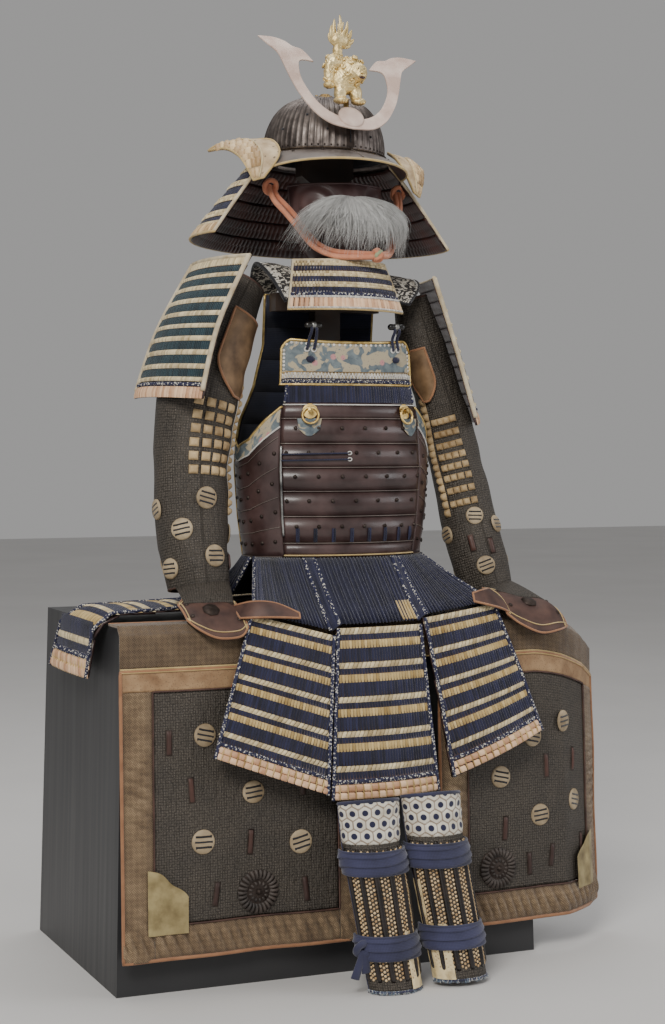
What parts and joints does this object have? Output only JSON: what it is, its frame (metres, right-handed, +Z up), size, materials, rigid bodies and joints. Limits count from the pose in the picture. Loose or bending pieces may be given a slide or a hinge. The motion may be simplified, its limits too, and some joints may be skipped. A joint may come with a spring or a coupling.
{
  "type": "samurai armour on its stand and plinth",
  "caption": "Full samurai armour seated on a box plinth: horned helmet and mask, cuirass with tassets, shoulder guards, sleeves, thigh apron and shin guards.",
  "frame": {"origin": "on the underside of the plinth, below the centre line of the cuirass", "axes": "+Z up, -Y the way the armour faces, +X towards the wearer's left, which is the viewer's right"},
  "size_m": [0.958, 0.6603, 1.624],
  "materials": {
    "plinth_paint": "dark grey satin paint",
    "stand_wood": "bare wood",
    "brown_lacquer": "brown lacquer on iron",
    "black_iron": "dark russet iron",
    "navy_lacing": "navy silk cord laced over lacquered lames",
    "teal_lacing": "dark teal silk cord laced over lacquered lames",
    "gold_metal": "gilt",
    "copper_metal": "worn gilt copper",
    "printed_leather": "stencilled deer leather",
    "brown_leather": "dark stencilled leather",
    "mail_cloth": "iron mail and small plates on lined cloth",
    "brocade": "brown brocade",
    "moustache_hair": "white hair",
    "orange_cord": "orange silk cord",
    "knotted_cloth": "cream cloth with a hexagon pattern",
    "indigo_cloth": "indigo cotton",
    "black_lacquer": "glossy black lacquer",
    "horn": "polished black horn"
  },
  "bodies": {
    "armour": {"plinth": "plinth_paint", "armour_stand": "stand_wood", "chest_plate": "printed_leather", "chest_lacing": "navy_lacing", "front_plate": "brown_lacquer", "side_plate_right": "brown_lacquer", "side_plate_left": "brown_lacquer", "back_plate": "brown_lacquer", "shoulder_strap_right": "printed_leather", "shoulder_strap_left": "printed_leather", "toggle_right": "horn", "toggle_left": "horn", "ring_post_right": "gold_metal", "ring_post_left": "gold_metal", "tasset_front_centre": "navy_lacing", "tasset_front_right": "navy_lacing", "tasset_front_left": "navy_lacing", "tasset_side_right": "navy_lacing", "tasset_side_left": "navy_lacing", "tasset_back_right": "navy_lacing", "tasset_back_left": "navy_lacing", "hanging_cords_front": "navy_lacing", "hanging_cords_side_right": "navy_lacing", "hanging_cords_side_left": "navy_lacing", "hanging_cords_back": "navy_lacing", "shoulder_guard_right": "teal_lacing", "shoulder_guard_left": "teal_lacing", "sleeve_right": "mail_cloth", "sleeve_left": "mail_cloth", "sleeve_flap_right": "brocade", "sleeve_flap_left": "brocade", "hand_plate_right": "brown_leather", "hand_plate_left": "brown_leather", "helmet_bowl": "black_iron", "helmet_visor": "brown_lacquer", "neck_guard": "navy_lacing", "turn_back_right": "printed_leather", "turn_back_left": "printed_leather", "horns": "copper_metal", "lion_crest": "gold_metal", "face_mask": "brown_lacquer", "moustache": "moustache_hair", "throat_guard": "navy_lacing", "helmet_cord": "orange_cord", "thigh_panel_right": "mail_cloth", "thigh_panel_left": "mail_cloth", "thigh_border_right": "brocade", "thigh_border_left": "brocade", "thigh_waist": "brocade", "knee_cloth_right": "knotted_cloth", "knee_cloth_left": "knotted_cloth", "shin_guard_right": "black_lacquer", "shin_guard_left": "black_lacquer", "shin_tie_upper_right": "indigo_cloth", "shin_tie_lower_right": "indigo_cloth", "shin_tie_upper_left": "indigo_cloth", "shin_tie_lower_left": "indigo_cloth"},
    "ring_right": {"ring_right": "gold_metal"},
    "ring_left": {"ring_left": "gold_metal"}
  },
  "joints": [
    {"name": "ring_right_swing", "type": "hinge", "parent": "armour", "child": "ring_right", "pos_m": [-0.08061, -0.15008, 0.941], "axis": [-0.2973, -0.9409, 0.1622], "range_deg": [-100, 100]},
    {"name": "ring_left_swing", "type": "hinge", "parent": "armour", "child": "ring_left", "pos_m": [0.09848, -0.14357, 0.941], "axis": [0.3786, -0.91, 0.1689], "range_deg": [-100, 100]}
  ]
}
